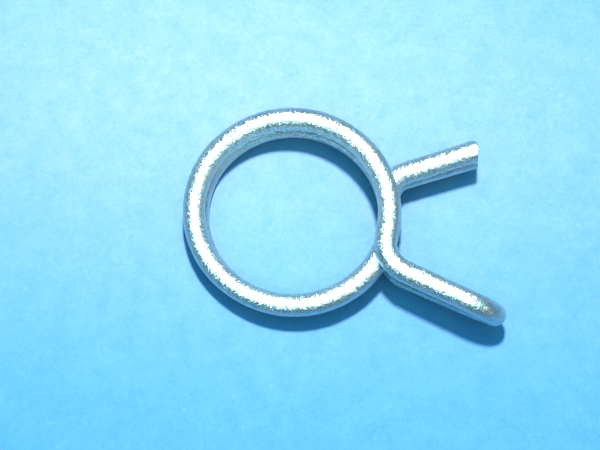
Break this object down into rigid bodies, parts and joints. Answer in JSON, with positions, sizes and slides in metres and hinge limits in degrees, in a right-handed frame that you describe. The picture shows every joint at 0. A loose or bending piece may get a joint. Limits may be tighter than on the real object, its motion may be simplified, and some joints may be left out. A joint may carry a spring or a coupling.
{
  "type": "spring wire tubing clamp",
  "caption": "One-piece spring clamp of round wire: a twin ring round a tube, with a hairpin ear and an ear of two cut ends that are squeezed together to open it.",
  "frame": {"origin": "centre of the ring, on the tube's axis, halfway between the two outer turns", "axes": "+Z along the tube's axis, +X out between the two ears, with the hairpin ear on the -Y side; the hairpin's bow is symmetric about Z = 0"},
  "size_m": [0.0297, 0.0186, 0.0082],
  "materials": {
    "plated_wire": "bright zinc plating on spring steel, finely grained, with a broad glossy highlight"
  },
  "bodies": {
    "root": {"clamp_wire": "plated_wire"}
  },
  "joints": []
}
